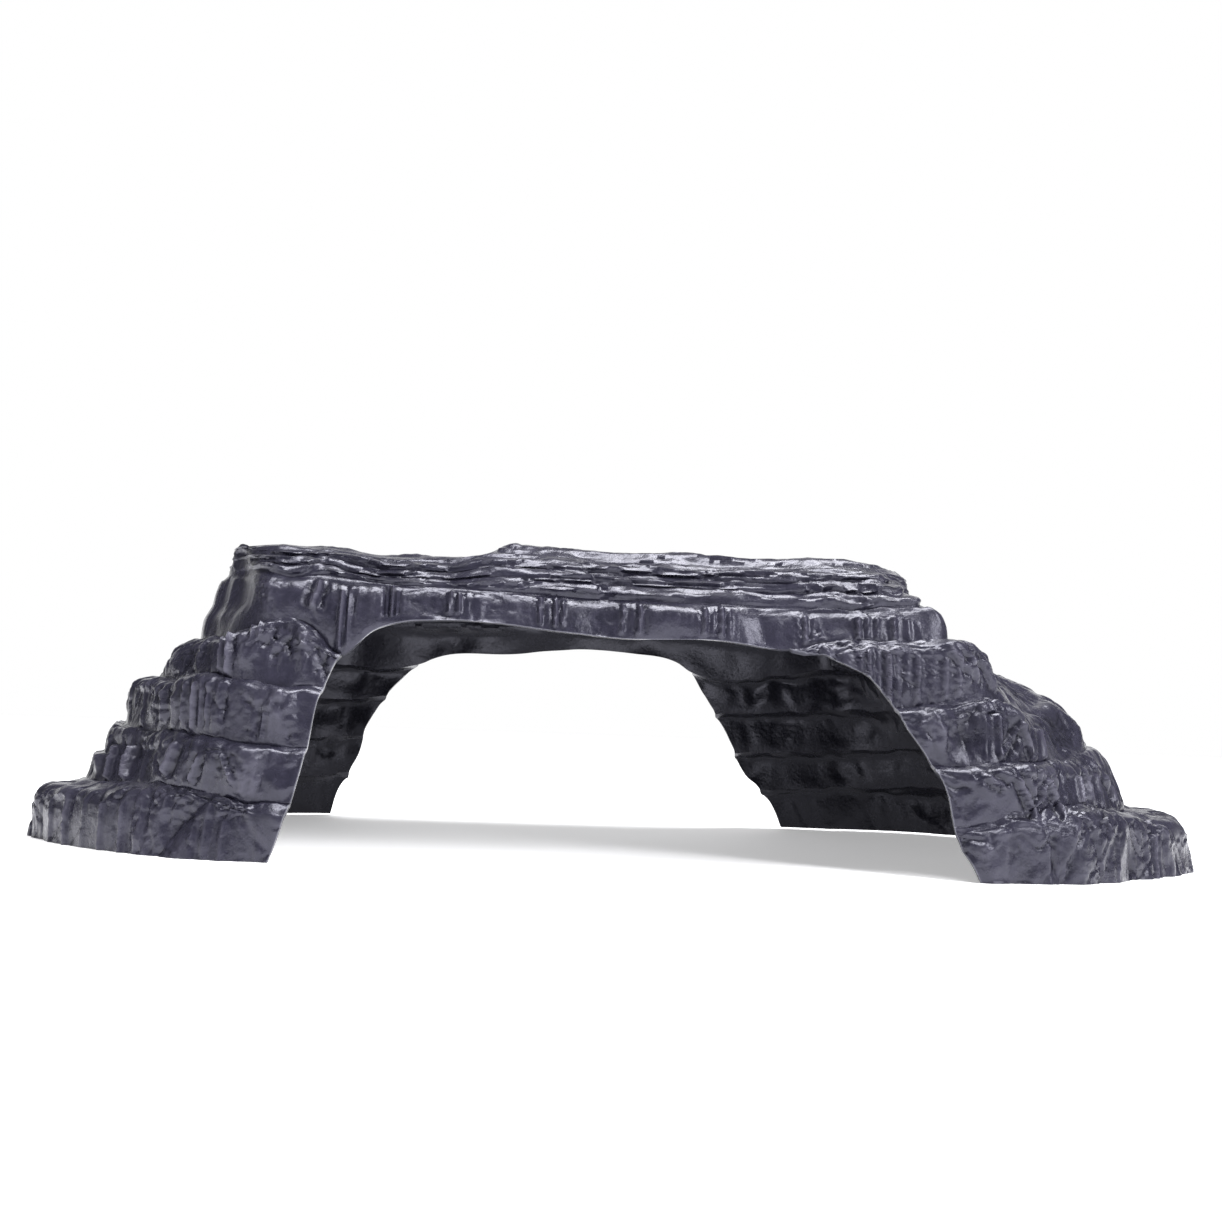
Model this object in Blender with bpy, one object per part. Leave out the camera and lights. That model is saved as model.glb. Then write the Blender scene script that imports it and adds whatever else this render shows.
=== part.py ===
"""Cave ornament: a stepped rock bridge over an open tunnel, moulded from one thin plastic sheet.

The shell is one surface that climbs from the floor outline to the plateau outline in tiers. It is
built here in sections that meet along the ledges: four steps on each leg, the ring of rock that
bridges the tunnel, and the deck on top. +X runs along the bridge, the tunnel runs through along Y.
Lengths are in millimetres until make_object() turns them into metres.
"""

import math

import bmesh
import bpy
import numpy as np

MM = 0.001

# Driving dimensions
LENGTH = 302.0
DEPTH = 150.0
WALL = 1.2
GAP = 0.3
PLATEAU_LENGTH = 171.0
PLATEAU_DEPTH = 92.0
PLATEAU_CENTRE_X = -15.5
DECK_LOW_Z = 72.8
DECK_HIGH_Z = 75.0
DECK_STEP_X = -37.0
DECK_STEP_WIDTH = 9.0
DECK_RIM = 4.0
DECK_SPINE = (-59.0, 37.0)

# A quarter of each outline, from the end of the bridge round to its long side, as fractions of
# half its length and half its depth. The floor has broad corners, the plateau tight ones.
FLOOR_CORNER = ((1.0, 0.0), (0.997, 0.22), (0.965, 0.43), (0.852, 0.69), (0.727, 0.88), (0.607, 0.985),
                (0.45, 1.0), (0.15, 1.0))
PLATEAU_CORNER = ((1.0, 0.0), (1.0, 0.33), (1.0, 0.64), (0.985, 0.85), (0.93, 0.965), (0.83, 1.0),
                  (0.62, 1.0), (0.20, 1.0))

# Where each ledge line lies between the floor outline (0) and the plateau outline (1)
WALL_LEDGES = (0.0, 0.11, 0.23, 0.35, 0.465, 0.60, 1.0)
LEFT_LEDGES = (0.0, 0.28, 0.465, 0.63, 0.85, 0.965, 1.0)
RIGHT_LEDGES = (0.0, 0.235, 0.36, 0.525, 0.965, 0.985, 1.0)

# Where each of them leaves the long wall and where it reaches the end, as shares of half the length
END_STARTS = 0.56
END_FULL = (0.86, 0.86, 0.86, 0.86, 0.80, 0.74, 0.86)

# How far each tier's riser leans back at the ends of the bridge, from steep (0) to sloping (1)
LEFT_LEAN = (0.1, 0.8, 0.1, 1.0, 0.5, 0.0)
RIGHT_LEAN = (0.0, 0.8, 0.8, 0.8, 1.0, 0.0)

# Heights of the ledge lines along X. The fourth line is also the crown of the tunnel's mouth.
FRONT_HEIGHTS = (
    ((-151, 0), (149, 0)),
    ((-141, 14), (-101, 14.8), (-76, 12.2), (71, 12.3), (107, 16.9), (117, 14.8), (139, 16)),
    ((-131, 30), (-111, 27), (-101, 26.6), (-75, 24.5), (69, 25), (91, 26.8), (103, 28.2), (124, 31.5)),
    ((-121, 42.4), (-99, 40.5), (-73, 38), (61, 38.5), (83, 41), (91, 38.4), (111, 45.2)),
    ((-111, 52.4), (-96, 50), (-91, 51.2), (-86, 53.4), (-80, 54.3), (-76.5, 53), (-73.5, 50.2),
     (-70.5, 47), (-68, 46.2), (-61, 51.6), (-53, 54.2), (-43, 54.9), (-17, 52.9), (-1, 52), (17, 52.4),
     (35, 51.2), (45, 53), (61, 54), (81, 56), (89, 57.5)),
    ((-106, 66), (-93, 65.5), (-71, 63.5), (-41, 62.5), (19, 61), (59, 62), (81, 66)),
    ((-99, 72.4), (-41, 72.2), (71, 71.8)),
)
REAR_HEIGHTS = (
    ((-151, 0), (149, 0)),
    ((-141, 14), (-113, 13), (-85, 15), (55, 13), (91, 15.5), (139, 16)),
    ((-131, 30), (-109, 26.5), (-80, 26), (43, 25), (87, 27.5), (124, 31.5)),
    ((-121, 42.4), (-93, 38.5), (-71, 39.5), (35, 38), (79, 40.5), (111, 43)),
    ((-111, 52.4), (-87, 49.5), (-62, 50.3), (-53, 53.1), (-34, 54.2), (-17, 56.5), (7, 55.9),
     (21, 53.8), (27, 50.8), (59, 51.5), (89, 57)),
    ((-106, 66), (-81, 63), (-31, 62.5), (19, 63.5), (59, 62), (81, 66)),
    ((-99, 72.4), (-41, 72.2), (71, 71.8)),
)

# The tunnel's trimmed edges below its crown, each from the floor up
FRONT_LEFT_EDGE = ((-79.5, 0), (-76.2, 10.6), (-73.4, 24.4), (-71.9, 34.6), (-69.6, 42.5), (-68, 46.2))
FRONT_RIGHT_EDGE = ((76.5, 0), (71.2, 11.6), (69.4, 19), (66.4, 25.4), (61.9, 32.2), (57.5, 40.4),
                    (51.4, 45.6), (41.6, 49.8), (35, 51.2))
REAR_LEFT_EDGE = ((-89.7, 0), (-87.2, 9.9), (-81, 19.5), (-78.7, 28.4), (-73, 38.1), (-66.4, 46.4),
                  (-62, 50.3))
REAR_RIGHT_EDGE = ((59.6, 0), (56.2, 8), (45.6, 18.6), (41, 27.6), (35, 37.9), (30, 45.3), (27, 50.8))

# One step: a riser, a rounded lip and a tread, as fractions of its depth and height
STEP_FORM = ((0, 0), (0.02, 0.48), (0.13, 0.76), (0.38, 0.90), (0.68, 0.96), (1, 1))
LEANING_FORM = ((0, 0), (0.24, 0.31), (0.45, 0.62), (0.64, 0.85), (0.82, 0.96), (1, 1))
FASCIA_FORM = ((0, 0), (0.30, 0.45), (0.62, 0.82), (1, 1))
STRATA_FORM = ((0, 0), (0.03, 0.20), (0.30, 0.32), (0.34, 0.52), (0.60, 0.62), (0.64, 0.80), (1, 1))
DECK_FORM = ((0, 0), (0.08, 0), (0.18, 0), (0.90, 0))
FORMS = (STEP_FORM, STEP_FORM, STEP_FORM, STEP_FORM, FASCIA_FORM, STRATA_FORM, DECK_FORM)

# Broad bulges of the rock: height in millimetres, waves round the outline, shift per tier
BULGES = ((0.8, 9, 1.7), (0.55, 17, 2.9), (0.35, 29, 4.1))

# Tiers that have a part to play of their own, and the stations of the two ends of the bridge
CROWN = 4
PLATEAU_EDGE = 6
MIDDLE = 7
RIGHT_TIP = 0.25
LEFT_TIP = 0.75
QUARTER = 0.25

# Width over which the front gives way to the rear, and the crown of the tunnel to its sides
REAR_BLEND = 40.0
CROWN_FADE = 5.0

# How far apart neighbouring points are taken to find the slope of the surface
STATION_NUDGE = 0.002
LEDGE_NUDGE = 0.04

LEG_COLUMNS = 31
CROWN_COLUMNS = 11
OUTLINE_SAMPLES = 1441
EDGE_SAMPLES = 400
SHARP_ANGLE = math.radians(40)

SLATE = {
    "base_step": (0.070, 0.068, 0.088),
    "second_step": (0.078, 0.075, 0.098),
    "third_step": (0.072, 0.070, 0.092),
    "shoulder_step": (0.090, 0.087, 0.110),
    "bridge_ring": (0.082, 0.080, 0.100),
    "bridge_deck": (0.100, 0.097, 0.120),
}
ROUGHNESS = 0.42


def eased(value):
    """0 below 0, 1 above 1, and a smooth rise between them."""
    value = np.clip(value, 0.0, 1.0)
    return value * value * (3.0 - 2.0 * value)


def through(points, at):
    """A smooth curve through (position, value) points, read at the positions given."""
    x, y = np.array(points, float).T
    slope = np.gradient(y, x)
    at = np.clip(at, x[0], x[-1])
    i = np.clip(np.searchsorted(x, at, side="right") - 1, 0, len(x) - 2)
    span = x[i + 1] - x[i]
    f = (at - x[i]) / span
    return (
        y[i] * (1 + 2 * f) * (1 - f) ** 2
        + y[i + 1] * (3 - 2 * f) * f * f
        + span * (slope[i] * f * (1 - f) ** 2 - slope[i + 1] * (1 - f) * f * f)
    )


def whole_loop(corner):
    """An outline anticlockwise from the middle of the front and back to it, as fractions."""
    quarter = np.array(corner)
    front_right = quarter[::-1] * (1, -1)
    back_right = quarter
    back_left = quarter[::-1] * (-1, 1)
    front_left = quarter[1:] * (-1, -1)
    middle = [(0.0, -1.0)]
    return np.vstack([middle, front_right[:-1], back_right, back_left, front_left, middle])


def evenly(loop, run):
    """Points of an outline at stations that are evenly spaced along the floor outline."""
    even = np.linspace(0, run[-1], OUTLINE_SAMPLES)
    return np.column_stack([through(list(zip(run, loop[:, axis])), even) for axis in (0, 1)])


STATIONS = np.linspace(0, 1, OUTLINE_SAMPLES)
FLOOR_LOOP = whole_loop(FLOOR_CORNER) * (LENGTH / 2, DEPTH / 2)
PLATEAU_LOOP = whole_loop(PLATEAU_CORNER) * (PLATEAU_LENGTH / 2, PLATEAU_DEPTH / 2) + (PLATEAU_CENTRE_X, 0)
FLOOR_RUN = np.append(0, np.cumsum(np.linalg.norm(np.diff(FLOOR_LOOP, axis=0), axis=1)))
FLOOR = evenly(FLOOR_LOOP, FLOOR_RUN)
PLATEAU = evenly(PLATEAU_LOOP, FLOOR_RUN)


def read_outline(outline, s):
    s = np.mod(s, 1.0)
    return np.interp(s, STATIONS, outline[:, 0]), np.interp(s, STATIONS, outline[:, 1])


def towards_end(k, along_wall, left_end, right_end, x):
    """A value for ledge k that holds along the walls and eases to another one at each end."""
    end = eased((np.abs(x) * 2 / LENGTH - END_STARTS) / (END_FULL[k] - END_STARTS))
    return along_wall + (np.where(x < 0, left_end, right_end) - along_wall) * end


def ledge(k, s):
    """Ledge line k at stations s: its place between the outlines, and its height."""
    fx, fy = read_outline(FLOOR, s)
    px, _ = read_outline(PLATEAU, s)
    t = towards_end(k, WALL_LEDGES[k], LEFT_LEDGES[k], RIGHT_LEDGES[k], fx)
    x = fx + (px - fx) * t
    rear = eased(0.5 + fy / REAR_BLEND)
    z = through(FRONT_HEIGHTS[k], x) * (1 - rear) + through(REAR_HEIGHTS[k], x) * rear
    return t, z


def read_form(form, f):
    """Depth and height fractions of a tier's form, at fractions f of its rows."""
    depth, height = np.array(form, float).T
    rows = np.linspace(0, 1, len(form))
    return np.interp(f, rows, depth), np.interp(f, rows, height)


def deck_height(x, edge_z, inset):
    """The deck has a low level on the left and a high one on the right, both level inside its rim."""
    high = eased((x - DECK_STEP_X) / DECK_STEP_WIDTH)
    level = DECK_LOW_Z + (DECK_HIGH_Z - DECK_LOW_Z) * high
    return edge_z + (level - edge_z) * eased(inset / DECK_RIM)


def surface(s, v):
    """Points of the outer surface. v counts ledges: 0 floor, 4 tunnel crown, 6 plateau edge, 7 middle."""
    s, v = np.broadcast_arrays(np.asarray(s, float), np.asarray(v, float))
    points = np.zeros(s.shape + (3,))
    for k in range(MIDDLE):
        here = (v >= k) & ((v < k + 1) | (k == PLATEAU_EDGE))
        if not here.any():
            continue
        at, f = s[here], v[here] - k
        fx, fy = read_outline(FLOOR, at)
        px, py = read_outline(PLATEAU, at)
        a, b = read_form(FORMS[k], f)
        t0, z0 = ledge(k, at)
        if k == PLATEAU_EDGE:
            dx, dy = np.clip(px, *DECK_SPINE) - px, -py
            x, y = px + dx * a, py + dy * a
            z = deck_height(x, z0, np.hypot(dx, dy) * a)
        else:
            t1, z1 = ledge(k + 1, at)
            leaning = read_form(LEANING_FORM, f)
            lean = towards_end(k, 0.0, LEFT_LEAN[k], RIGHT_LEAN[k], fx)
            a, b = a + (leaning[0] - a) * lean, b + (leaning[1] - b) * lean
            t = t0 + (t1 - t0) * a
            x, y = fx + (px - fx) * t, fy + (py - fy) * t
            z = z0 + (z1 - z0) * b
            swell = np.sin(np.pi * f) * (z1 > z0)
            bulge = sum(h * np.sin(2 * np.pi * waves * at + k * shift) for h, waves, shift in BULGES)
            length = np.hypot(px - fx, py - fy)
            x = x - (px - fx) / length * bulge * swell
            y = y - (py - fy) / length * bulge * swell
        points[here] = np.column_stack([x, y, z])
    return points


def unit(vectors):
    return vectors / np.linalg.norm(vectors, axis=-1, keepdims=True)


def directions(s, v, one_sided):
    """The outward normal, and the way up the slope. At a ledge both are halfway between its sides."""
    here = surface(s, v)
    along = unit(surface(s + STATION_NUDGE, v) - surface(s - STATION_NUDGE, v))
    below = unit(here - surface(s, v - LEDGE_NUDGE)) if v > 0 else None
    above = unit(surface(s, v + LEDGE_NUDGE) - here) if v < MIDDLE else below
    below = above if below is None else below
    slope = unit(above + below * (1 - one_sided)[:, None])
    normal = unit(np.cross(along, slope))
    return here, normal, slope


def edge_station(v, edge, towards_tip, towards_middle):
    """The station where the row at v meets a trimmed edge of the tunnel."""
    s = np.linspace(towards_tip, towards_middle, EDGE_SAMPLES)
    points = surface(s, v)
    x_edge = through([(z, x) for x, z in edge], points[:, 2])
    past = points[:, 0] - x_edge
    i = np.nonzero(past[:-1] * past[1:] <= 0)[0][0]
    return s[i] + (s[i + 1] - s[i]) * past[i] / (past[i] - past[i + 1])


def form_rows(k):
    """The rows of tier k, one for each point of its form."""
    return list(k + np.linspace(0, 1, len(FORMS[k])))


def sheet(rows, stations, gap_below, gap_above):
    """Outer and inner grids of a strip of shell. Rows that meet a neighbour stop half a gap short."""
    outer, inner = [], []
    for i, (v, s) in enumerate(zip(rows, stations)):
        crown = np.zeros_like(s)
        if v == CROWN:
            x, y, _ = surface(s, v).T
            left = np.where(y < 0, FRONT_LEFT_EDGE[-1][0], REAR_LEFT_EDGE[-1][0])
            right = np.where(y < 0, FRONT_RIGHT_EDGE[-1][0], REAR_RIGHT_EDGE[-1][0])
            crown = eased((x - left) / CROWN_FADE) * eased((right - x) / CROWN_FADE)
        point, normal, slope = directions(s, v, crown)
        if v == 0:
            normal = unit(normal * (1, 1, 0))
        shift = GAP / 2 if (i == 0 and gap_below) else -GAP / 2 if (i == len(rows) - 1 and gap_above) else 0
        point = point + slope * shift
        outer.append(point)
        inner.append(point - normal * WALL)
    return np.array(outer), np.array(inner)


def grid_faces(rows, columns, closed):
    """Quads of a grid of vertices, as index lists that run anticlockwise seen from its front."""
    faces = []
    for r in range(rows - 1):
        for c in range(columns if closed else columns - 1):
            n = (c + 1) % columns
            faces.append((r * columns + c, r * columns + n, (r + 1) * columns + n, (r + 1) * columns + c))
    return faces


def shell_mesh(outer, inner, closed, capped=False):
    """A closed solid from an outer and an inner grid, rimmed along its edges."""
    rows, columns = outer.shape[:2]
    size = rows * columns
    faces = grid_faces(rows, columns, closed)
    faces += [tuple(size + i for i in reversed(face)) for face in faces]
    for c in range(columns if closed else columns - 1):
        n = (c + 1) % columns
        faces.append((size + c, size + n, n, c))
        if not capped:
            top = (rows - 1) * columns
            faces.append((top + c, top + n, size + top + n, size + top + c))
    if not closed:
        for r in range(rows - 1):
            a, b = r * columns, (r + 1) * columns
            faces.append((a, b, size + b, size + a))
            a, b = a + columns - 1, b + columns - 1
            faces.append((size + a, size + b, b, a))
    if capped:
        top = (rows - 1) * columns
        faces.append(tuple(range(top, top + columns)))
        faces.append(tuple(size + i for i in reversed(range(top, top + columns))))
    return np.vstack([outer.reshape(-1, 3), inner.reshape(-1, 3)]), faces


def material(name, colour):
    made = bpy.data.materials.new(name)
    made.use_nodes = True
    shader = made.node_tree.nodes["Principled BSDF"]
    shader.inputs["Base Color"].default_value = (*colour, 1)
    shader.inputs["Roughness"].default_value = ROUGHNESS
    shader.inputs["Metallic"].default_value = 0.0
    return made


def make_object(name, points, faces, colour):
    mesh = bpy.data.meshes.new(name)
    shape = bmesh.new()
    corners = [shape.verts.new(point * MM) for point in points]
    for face in faces:
        shape.faces.new([corners[i] for i in face])
    bmesh.ops.triangulate(shape, faces=shape.faces[:])
    shape.to_mesh(mesh)
    shape.free()
    mesh.shade_smooth()
    mesh.set_sharp_from_angle(angle=SHARP_ANGLE)
    mesh.materials.append(material(name, colour))
    made = bpy.data.objects.new(name, mesh)
    bpy.context.scene.collection.objects.link(made)


def leg_stations(side, v):
    """Stations round one leg at height v, from one trimmed edge of the tunnel to the other."""
    if side == "right":
        tip, first_edge, last_edge = RIGHT_TIP, FRONT_RIGHT_EDGE, REAR_RIGHT_EDGE
    else:
        tip, first_edge, last_edge = LEFT_TIP, REAR_LEFT_EDGE, FRONT_LEFT_EDGE
    first = edge_station(v, first_edge, tip, tip - QUARTER)
    last = edge_station(v, last_edge, tip, tip + QUARTER)
    return np.linspace(first, last, LEG_COLUMNS)


def ring_stations():
    """Stations all round: those of both shoulders' top rows, and the tunnel's crowns between them."""
    right, left = leg_stations("right", CROWN), leg_stations("left", CROWN)
    rear = np.linspace(right[-1], left[0], CROWN_COLUMNS + 2)[1:-1]
    front = np.linspace(left[-1], right[0] + 1, CROWN_COLUMNS + 2)[1:-1]
    return np.concatenate([right, rear, left, front])


def make_leg(side):
    """Four steps of one leg, each running round the end of the bridge."""
    for k, step in enumerate(("base_step", "second_step", "third_step", "shoulder_step")):
        rows = form_rows(k)
        outer, inner = sheet(rows, [leg_stations(side, v) for v in rows], gap_below=k > 0, gap_above=True)
        make_object(f"{side}_{step}", *shell_mesh(outer, inner, closed=False), SLATE[step])


def make_bridge():
    """The ring of rock over the tunnel and round the top, and the deck inside it."""
    rows = form_rows(CROWN) + form_rows(CROWN + 1)[1:]
    outer, inner = sheet(rows, [ring_stations()] * len(rows), gap_below=True, gap_above=True)
    make_object("bridge_ring", *shell_mesh(outer, inner, closed=True), SLATE["bridge_ring"])
    rows = form_rows(PLATEAU_EDGE)
    outer, inner = sheet(rows, [ring_stations()] * len(rows), gap_below=True, gap_above=False)
    make_object("bridge_deck", *shell_mesh(outer, inner, closed=True, capped=True), SLATE["bridge_deck"])


def main():
    for old in list(bpy.data.objects):
        bpy.data.objects.remove(old)
    make_leg("left")
    make_leg("right")
    make_bridge()


main()
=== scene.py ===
"""Looks of the cave ornament: a stepped rock bridge moulded from one thin sheet of dark plastic.

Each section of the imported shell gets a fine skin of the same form, with the relief of the rock cut
into it. The skins meet along the ledges, so that they read as one moulded sheet. Lengths are in
millimetres in the part's own frame until build_piece() turns them into metres.
"""

import math

import bpy
import numpy as np
from mathutils import Matrix, Vector


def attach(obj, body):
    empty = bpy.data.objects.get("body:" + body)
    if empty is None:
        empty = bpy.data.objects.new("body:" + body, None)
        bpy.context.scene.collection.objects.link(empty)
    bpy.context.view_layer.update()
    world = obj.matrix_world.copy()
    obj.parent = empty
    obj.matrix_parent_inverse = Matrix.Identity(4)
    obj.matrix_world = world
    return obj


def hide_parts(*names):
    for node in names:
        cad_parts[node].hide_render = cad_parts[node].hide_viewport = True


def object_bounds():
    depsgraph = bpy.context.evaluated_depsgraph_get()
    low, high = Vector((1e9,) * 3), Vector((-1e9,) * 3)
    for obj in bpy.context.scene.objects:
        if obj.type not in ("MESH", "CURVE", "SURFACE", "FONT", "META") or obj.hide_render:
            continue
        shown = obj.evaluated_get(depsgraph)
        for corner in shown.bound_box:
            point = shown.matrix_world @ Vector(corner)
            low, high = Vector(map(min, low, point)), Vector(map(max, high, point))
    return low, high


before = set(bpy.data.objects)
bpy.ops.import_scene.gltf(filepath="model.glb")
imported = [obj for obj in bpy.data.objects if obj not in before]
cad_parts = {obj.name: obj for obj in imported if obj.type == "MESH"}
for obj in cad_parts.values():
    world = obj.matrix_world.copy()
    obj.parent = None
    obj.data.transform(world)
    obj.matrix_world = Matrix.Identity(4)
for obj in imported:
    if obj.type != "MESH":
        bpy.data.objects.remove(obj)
CAD_BOX = [list(corner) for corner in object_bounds()]

# The deck is the highest part of the CAD model, so its height gives the length of a millimetre
LOW, HIGH = CAD_BOX
DECK_HIGH_Z = 75.0
MM = (HIGH[2] - LOW[2]) / DECK_HIGH_Z
FLOOR_Z = LOW[2]

# Driving dimensions of the part: its outlines, its deck, and the height of every ledge
LENGTH = 302.0
DEPTH = 150.0
PLATEAU_LENGTH = 171.0
PLATEAU_DEPTH = 92.0
PLATEAU_CENTRE_X = -15.5
DECK_LOW_Z = 72.8
DECK_STEP_X = -37.0
DECK_STEP_WIDTH = 9.0
DECK_RIM = 4.0
DECK_SPINE = (-59.0, 37.0)

# One corner of each outline, as fractions of half the length and half the depth
FLOOR_CORNER = (
    (1.0, 0.0), (0.997, 0.22), (0.965, 0.43), (0.852, 0.69),
    (0.727, 0.88), (0.607, 0.985), (0.45, 1.0), (0.15, 1.0),
)
PLATEAU_CORNER = (
    (1.0, 0.0), (1.0, 0.33), (1.0, 0.64), (0.985, 0.85),
    (0.93, 0.965), (0.83, 1.0), (0.62, 1.0), (0.20, 1.0),
)

# Each ledge's place from the floor outline (0) to the plateau (1): on the walls, and at each end
WALL_LEDGES = (0.0, 0.11, 0.23, 0.35, 0.465, 0.60, 1.0)
LEFT_LEDGES = (0.0, 0.28, 0.465, 0.63, 0.85, 0.965, 1.0)
RIGHT_LEDGES = (0.0, 0.235, 0.36, 0.525, 0.965, 0.985, 1.0)

# Where the walls start to turn into the ends, and where each ledge has reached its end's value, as
# fractions of half the length
END_STARTS = 0.56
END_FULL = (0.86, 0.86, 0.86, 0.86, 0.80, 0.74, 0.86)

# How far each tier leans at the ends, from an upright riser (0) to an even slope (1)
LEFT_LEAN = (0.1, 0.8, 0.1, 1.0, 0.5, 0.0)
RIGHT_LEAN = (0.0, 0.8, 0.8, 0.8, 1.0, 0.0)

# Height of each ledge along x
FRONT_HEIGHTS = (
    ((-151, 0), (149, 0)),
    ((-141, 14), (-101, 14.8), (-76, 12.2), (71, 12.3), (107, 16.9), (117, 14.8), (139, 16)),
    ((-131, 30), (-111, 27), (-101, 26.6), (-75, 24.5), (69, 25), (91, 26.8), (103, 28.2),
     (124, 31.5)),
    ((-121, 42.4), (-99, 40.5), (-73, 38), (61, 38.5), (83, 41), (91, 38.4), (111, 45.2)),
    ((-111, 52.4), (-96, 50), (-91, 51.2), (-86, 53.4), (-80, 54.3), (-76.5, 53), (-73.5, 50.2),
     (-70.5, 47), (-68, 46.2), (-61, 51.6), (-53, 54.2), (-43, 54.9), (-17, 52.9), (-1, 52),
     (17, 52.4), (35, 51.2), (45, 53), (61, 54), (81, 56), (89, 57.5)),
    ((-106, 66), (-93, 65.5), (-71, 63.5), (-41, 62.5), (19, 61), (59, 62), (81, 66)),
    ((-99, 72.4), (-41, 72.2), (71, 71.8)),
)
REAR_HEIGHTS = (
    ((-151, 0), (149, 0)),
    ((-141, 14), (-113, 13), (-85, 15), (55, 13), (91, 15.5), (139, 16)),
    ((-131, 30), (-109, 26.5), (-80, 26), (43, 25), (87, 27.5), (124, 31.5)),
    ((-121, 42.4), (-93, 38.5), (-71, 39.5), (35, 38), (79, 40.5), (111, 43)),
    ((-111, 52.4), (-87, 49.5), (-62, 50.3), (-53, 53.1), (-34, 54.2), (-17, 56.5), (7, 55.9),
     (21, 53.8), (27, 50.8), (59, 51.5), (89, 57)),
    ((-106, 66), (-81, 63), (-31, 62.5), (19, 63.5), (59, 62), (81, 66)),
    ((-99, 72.4), (-41, 72.2), (71, 71.8)),
)

# The trimmed edges of the tunnel's mouths, as (x, z)
FRONT_LEFT_EDGE = (
    (-79.5, 0), (-76.2, 10.6), (-73.4, 24.4), (-71.9, 34.6), (-69.6, 42.5), (-68, 46.2),
)
FRONT_RIGHT_EDGE = (
    (76.5, 0), (71.2, 11.6), (69.4, 19), (66.4, 25.4), (61.9, 32.2),
    (57.5, 40.4), (51.4, 45.6), (41.6, 49.8), (35, 51.2),
)
REAR_LEFT_EDGE = (
    (-89.7, 0), (-87.2, 9.9), (-81, 19.5), (-78.7, 28.4), (-73, 38.1), (-66.4, 46.4), (-62, 50.3),
)
REAR_RIGHT_EDGE = (
    (59.6, 0), (56.2, 8), (45.6, 18.6), (41, 27.6), (35, 37.9), (30, 45.3), (27, 50.8),
)

# Each tier's form from its lower ledge to its upper one, as fractions of its depth and height.
# A step has a riser, a rounded lip and a tread.
STEP_FORM = ((0, 0), (0.03, 0.30), (0.05, 0.58), (0.13, 0.80), (0.34, 0.91), (0.66, 0.96), (1, 1))
LEANING_FORM = (
    (0, 0), (0.16, 0.22), (0.34, 0.45), (0.50, 0.68), (0.66, 0.86), (0.82, 0.96), (1, 1),
)
FASCIA_FORM = ((0, 0), (0.15, 0.36), (0.34, 0.68), (0.63, 0.87), (1, 1))
STRATA_FORM = (
    (0, 0), (0.03, 0.20), (0.30, 0.32), (0.34, 0.52), (0.60, 0.62), (0.64, 0.80), (1, 1),
)
DECK_FORM = ((0, 0), (1, 0))
FORMS = (STEP_FORM, STEP_FORM, STEP_FORM, STEP_FORM, FASCIA_FORM, STRATA_FORM, DECK_FORM)

# Waves along the walls: height, how many there are round the outline, and shift from tier to tier
BULGES = ((0.8, 9, 1.7), (0.55, 17, 2.9), (0.35, 29, 4.1))

# Ledges are counted from the floor up. A tier has the number of the ledge below it.
SECOND_STEP = 1
CROWN = 4
PLATEAU_EDGE = 6
MIDDLE = 7

# Stations run from 0 to 1, once round the outline from the middle of its front
RIGHT_TIP = 0.25
LEFT_TIP = 0.75
QUARTER = 0.25

# The widths over which the front's heights turn into the rear's, and the crown's trimmed edge
# into the joint with a leg
REAR_BLEND = 40.0
CROWN_FADE = 5.0

# How closely the surface is sampled, for its normals, its outlines and its slopes
STATION_NUDGE = 0.002
LEDGE_NUDGE = 0.04
OUTLINE_SAMPLES = 1441
EDGE_SAMPLES = 400
SLOPE_SAMPLES = 241
SLOPE_STATIONS = 9

# The skin: its thickness, how closely its inside follows the form, and how deep a cut may be
SHEET = 0.9
FOLLOW = 0.65
DEEPEST_CUT = -0.75

# Its grid: the spacing, how much closer the rows of the strata and the columns of the ring are,
# and on the deck the width of the fine band, the spacing inside it and where the rows end
GRID = 0.56
STRATA_GRID = 0.7
RING_DENSITY = 1.36
DECK_BAND = 11.0
DECK_GRID = 1.2
DECK_END = 0.985

# Where the strata start to fade, and how far the skin stands up or in from the CAD's surface
STRATA_HALF = 68.0
REAR_LIFT = 0.5
BASE_INSET = 0.5
LEFT_END_INSET = 1.6

# Over how much rise the detail fades, and the form of a step or the fascia settles, above and
# below a ledge. On the deck both fade towards its middle, the form down to a share of itself.
DETAIL_ABOVE = 1.4
DETAIL_BELOW = 1.2
FORM_ABOVE = 4.5
FORM_BELOW = 1.8
DECK_DETAIL_FADE = 9
DECK_FORM_FADE = 12
DECK_FORM_LEAST = 0.3

# The two small shelves in the left end: where the lower one starts, and how high and deep they are
SHELF_FOOT_Z = 14.0
SHELF_HEIGHT = 7.4
SHELF_DEPTH = 2.4

# Folds sharper than this many degrees stay sharp
SHARP_FOLD = 58


# ---------------------------------------------------------------- noise


TABLE = 256
LAST = TABLE - 1
NOISE_GAIN = 1.6
CELL_SCATTER = 0.8
rng = np.random.default_rng(11)
SHUFFLE = rng.permutation(TABLE)
GRADIENTS = rng.normal(size=(TABLE, 3))
GRADIENTS /= np.linalg.norm(GRADIENTS, axis=1, keepdims=True)
CHANCE = rng.random((TABLE, 4))


def corner(ix, iy, iz):
    """A repeatable number below the table's size for each cell of a grid."""
    return SHUFFLE[(SHUFFLE[(SHUFFLE[ix & LAST] + iy) & LAST] + iz) & LAST]


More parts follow.
